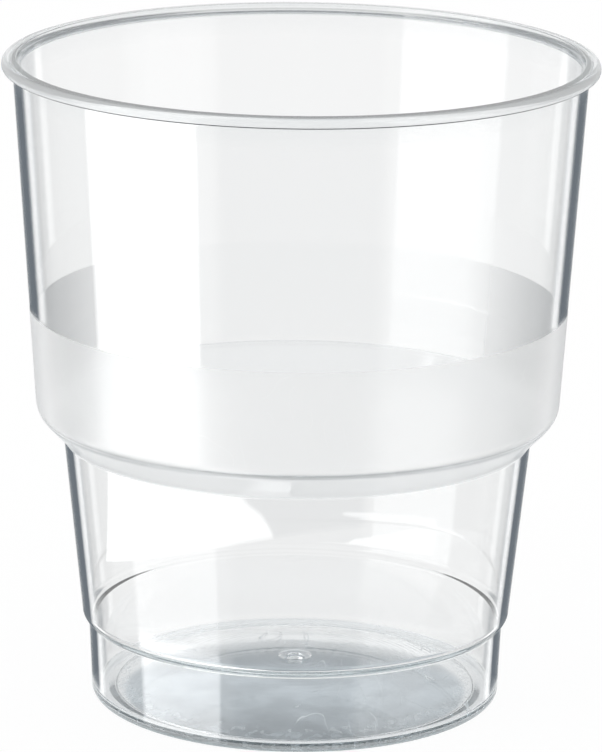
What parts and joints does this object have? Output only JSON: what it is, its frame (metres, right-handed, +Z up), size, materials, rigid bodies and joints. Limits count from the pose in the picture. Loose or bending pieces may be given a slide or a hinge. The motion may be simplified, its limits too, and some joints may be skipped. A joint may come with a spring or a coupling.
{
  "type": "plastic tumbler",
  "caption": "Clear one-piece stackable tumbler with a flanged rim, a stepped shoulder under a frosted band, a tapered lower body and a domed foot.",
  "frame": {"origin": "centre of the ring that the tumbler stands on, on the table", "axes": "+Z up along the tumbler's axis, towards the rim"},
  "size_m": [0.08, 0.08, 0.0885],
  "materials": {
    "clear_plastic": "clear glossy moulded plastic, matte on the outside from the middle of the cup down round the shoulder"
  },
  "bodies": {
    "root": {"tumbler": "clear_plastic"}
  },
  "joints": []
}
